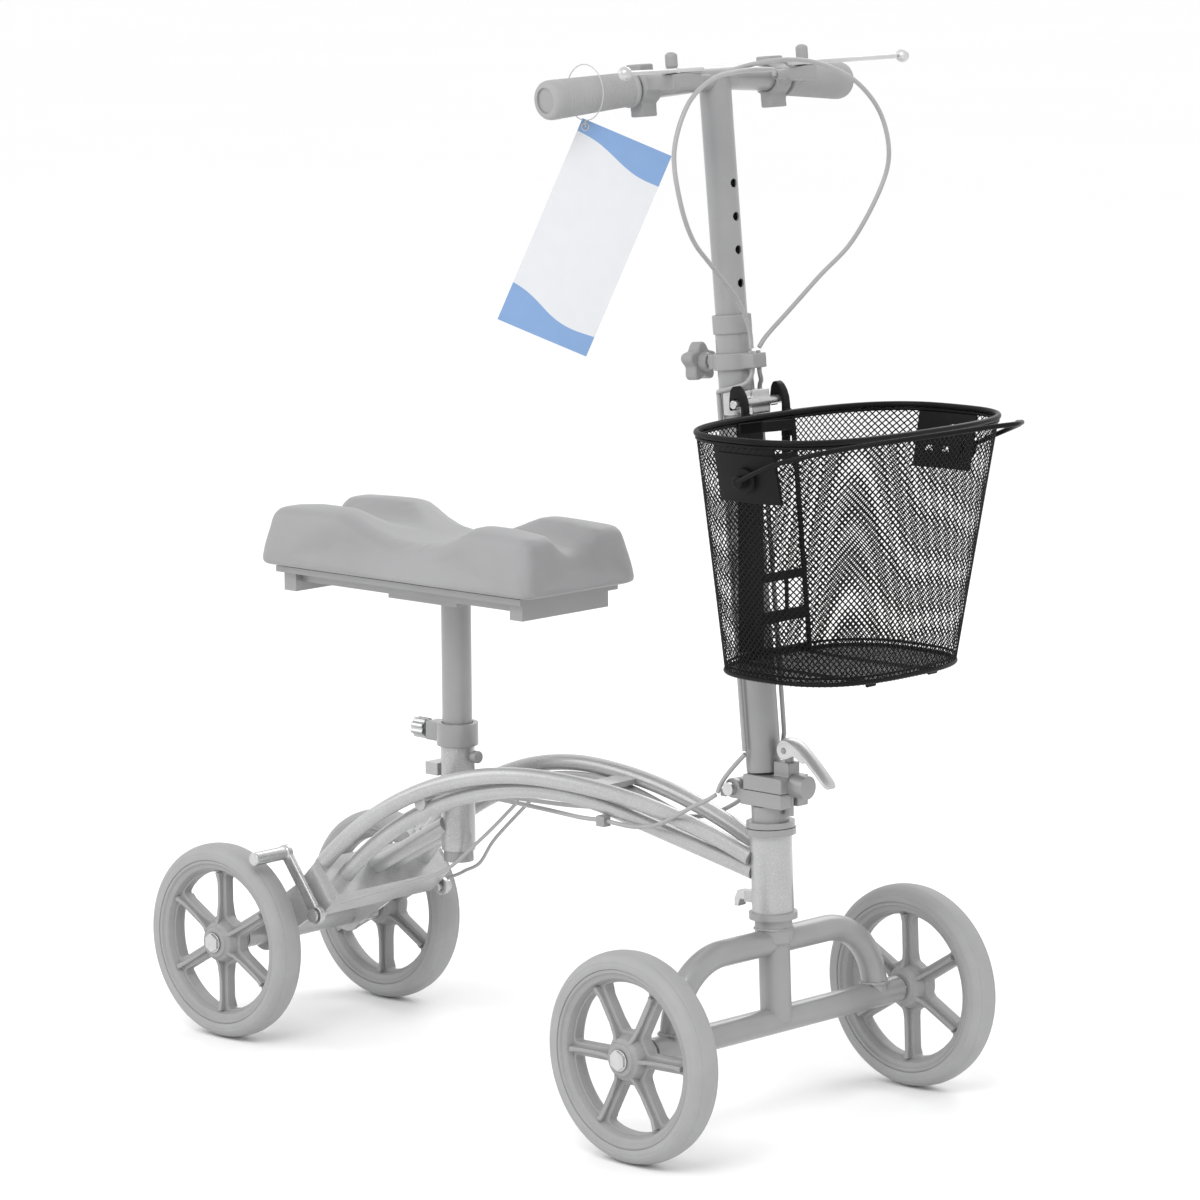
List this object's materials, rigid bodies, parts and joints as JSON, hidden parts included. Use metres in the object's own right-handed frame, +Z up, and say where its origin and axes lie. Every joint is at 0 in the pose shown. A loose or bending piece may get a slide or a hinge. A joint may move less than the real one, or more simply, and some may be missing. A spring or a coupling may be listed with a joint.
{
  "type": "knee scooter",
  "caption": "Steerable knee walker: arched tube frame, padded knee rest, folding column with hand brakes, spoked wheels and a front wire basket.",
  "frame": {"origin": "centre of the bounding box on the floor", "axes": "+X forward, +Y to the rider's left, +Z up"},
  "size_m": [0.976, 0.4102, 0.9665],
  "materials": {
    "frame_grey": "satin metallic grey enamel",
    "dark_grey": "semi-gloss dark grey enamel",
    "zinc": "bright zinc plate",
    "alloy": "polished alloy",
    "plastic_grey": "fine-grained moulded plastic",
    "rim_plastic": "moulded glass-filled nylon",
    "tyre_rubber": "grey polyurethane tread",
    "grip_rubber": "soft ribbed grip rubber",
    "cable_black": "cable housing",
    "cushion_vinyl": "self-skinned soft foam",
    "basket_black": "black powder coat",
    "card_white": "laminated card with plain blue bands",
    "brass_bush": "ground bearing steel"
  },
  "bodies": {
    "frame": {"arch_upper": "frame_grey", "arch_lower": "frame_grey", "frame_ties": "frame_grey", "head_tube": "frame_grey", "headset_cups": "dark_grey", "seat_tube": "frame_grey", "seat_collar": "dark_grey", "seat_struts": "frame_grey", "rear_yoke": "frame_grey", "rear_axle_tube": "frame_grey", "frame_bolts": "zinc", "cable_stops": "plastic_grey", "rear_bushings": "brass_bush", "cable_frame_runs": "cable_black"},
    "fork": {"fork_beam": "dark_grey", "fork_arch": "dark_grey", "fork_post": "dark_grey", "steerer_tube": "dark_grey", "neck_nut": "dark_grey", "hinge_lower_block": "dark_grey", "front_axle_bolts": "zinc", "front_bushings": "brass_bush", "cable_steer_runs": "cable_black"},
    "column": {"hinge_upper_block": "dark_grey", "hinge_pin": "zinc", "column_sleeve": "dark_grey", "column_collar": "plastic_grey", "basket_bracket": "zinc", "latch_rod": "dark_grey", "cable_column_runs": "cable_black", "cable_hinge_runs": "cable_black"},
    "handlebar": {"upper_tube": "dark_grey", "handlebar_tube": "dark_grey", "grips": "grip_rubber", "lever_clamps": "plastic_grey", "cable_loops": "cable_black"},
    "lever_left": {"brake_lever_left": "alloy"},
    "lever_right": {"brake_lever_right": "alloy"},
    "brake_left": {"brake_arm_left": "zinc"},
    "brake_right": {"brake_arm_right": "zinc"},
    "fold_latch": {"fold_lever": "alloy"},
    "height_lock": {"height_knob": "plastic_grey"},
    "seat": {"seat_post": "dark_grey", "seat_base": "dark_grey", "seat_cushion": "cushion_vinyl"},
    "seat_lock": {"seat_knob": "zinc"},
    "wheel_front_left": {"rim_front_left": "rim_plastic", "tyre_front_left": "tyre_rubber"},
    "wheel_front_right": {"rim_front_right": "rim_plastic", "tyre_front_right": "tyre_rubber"},
    "wheel_rear_left": {"rim_rear_left": "rim_plastic", "tyre_rear_left": "tyre_rubber"},
    "wheel_rear_right": {"rim_rear_right": "rim_plastic", "tyre_rear_right": "tyre_rubber"},
    "basket": {"basket_shell": "basket_black", "basket_hooks": "basket_black"},
    "bail": {"basket_bail": "basket_black"},
    "steering_lock": {"steer_lock": "zinc"},
    "tag": {"hang_tag": "card_white"}
  },
  "joints": [
    {"name": "steer", "type": "hinge", "parent": "frame", "child": "fork", "pos_m": [0.217, 0, 0.095], "axis": [-0.0349, 0, 0.9994], "range_deg": [-40, 40], "deforming": ["cable_steer_runs"]},
    {"name": "column_fold", "type": "hinge", "parent": "fork", "child": "column", "pos_m": [0.181, 0, 0.306], "axis": [0, 1, 0], "range_deg": [-33, 0], "deforming": ["cable_hinge_runs"]},
    {"name": "bar_height", "type": "slide", "parent": "column", "child": "handlebar", "axis": [-0.0924, 0, 0.9957], "range_m": [-0.118, 0.059], "deforming": ["cable_loops"]},
    {"name": "lever_left_squeeze", "type": "hinge", "parent": "handlebar", "child": "lever_left", "pos_m": [0.17424, 0.087, 0.94901], "axis": [-0.0924, 0, 0.9957], "range_deg": [0, 20]},
    {"name": "lever_right_squeeze", "type": "hinge", "parent": "handlebar", "child": "lever_right", "pos_m": [0.17424, -0.087, 0.94901], "axis": [0.0924, 0, -0.9957], "range_deg": [0, 20]},
    {"name": "brake_left_press", "type": "hinge", "parent": "frame", "child": "brake_left", "pos_m": [-0.29, 0.085, 0.131], "axis": [0, -1, 0], "range_deg": [0, 6]},
    {"name": "brake_right_press", "type": "hinge", "parent": "frame", "child": "brake_right", "pos_m": [-0.29, -0.085, 0.131], "axis": [0, -1, 0], "range_deg": [0, 6]},
    {"name": "latch_open", "type": "hinge", "parent": "column", "child": "fold_latch", "pos_m": [0.233, 0, 0.345], "axis": [0, -1, 0], "range_deg": [0, 80]},
    {"name": "height_knob_turn", "type": "hinge", "parent": "column", "child": "height_lock", "pos_m": [0.12941, 0, 0.68524], "axis": [0.9957, 0, 0.0924], "continuous": true},
    {"name": "seat_height", "type": "slide", "parent": "frame", "child": "seat", "axis": [0, 0, 1], "range_m": [-0.06, 0.06]},
    {"name": "seat_knob_turn", "type": "hinge", "parent": "frame", "child": "seat_lock", "pos_m": [-0.233, 0, 0.309], "axis": [1, 0, 0], "continuous": true},
    {"name": "spin_front_left", "type": "hinge", "parent": "fork", "child": "wheel_front_left", "pos_m": [0.22344, 0.18439, 0.09522], "axis": [0.0349, 0.9994, 0.0012], "continuous": true},
    {"name": "spin_front_right", "type": "hinge", "parent": "fork", "child": "wheel_front_right", "pos_m": [0.21056, -0.18439, 0.09478], "axis": [0.0349, 0.9994, 0.0012], "continuous": true},
    {"name": "spin_rear_left", "type": "hinge", "parent": "frame", "child": "wheel_rear_left", "pos_m": [-0.393, 0.1085, 0.095], "axis": [0, 1, 0], "continuous": true},
    {"name": "spin_rear_right", "type": "hinge", "parent": "frame", "child": "wheel_rear_right", "pos_m": [-0.393, -0.1085, 0.095], "axis": [0, 1, 0], "continuous": true},
    {"name": "basket_lift", "type": "slide", "parent": "column", "child": "basket", "axis": [0, 0, 1], "range_m": [0, 0.03]},
    {"name": "bail_swing", "type": "hinge", "parent": "basket", "child": "bail", "pos_m": [0.312, 0, 0.609], "axis": [0, -1, 0], "range_deg": [-6, 105]},
    {"name": "steering_lock_swing", "type": "hinge", "parent": "frame", "child": "steering_lock", "pos_m": [0.18811, 0, 0.20606], "axis": [0, 1, 0], "range_deg": [0, 30]},
    {"name": "tag_swing", "type": "hinge", "parent": "handlebar", "child": "tag", "pos_m": [0.1293, -0.15, 0.9326], "axis": [0.1077, 0.9942, 0], "range_deg": [-6, 14]}
  ],
  "couplings": [
    {"joint": "brake_left_press", "follows": "lever_left_squeeze", "ratio": 0.3},
    {"joint": "brake_right_press", "follows": "lever_right_squeeze", "ratio": 0.3}
  ]
}
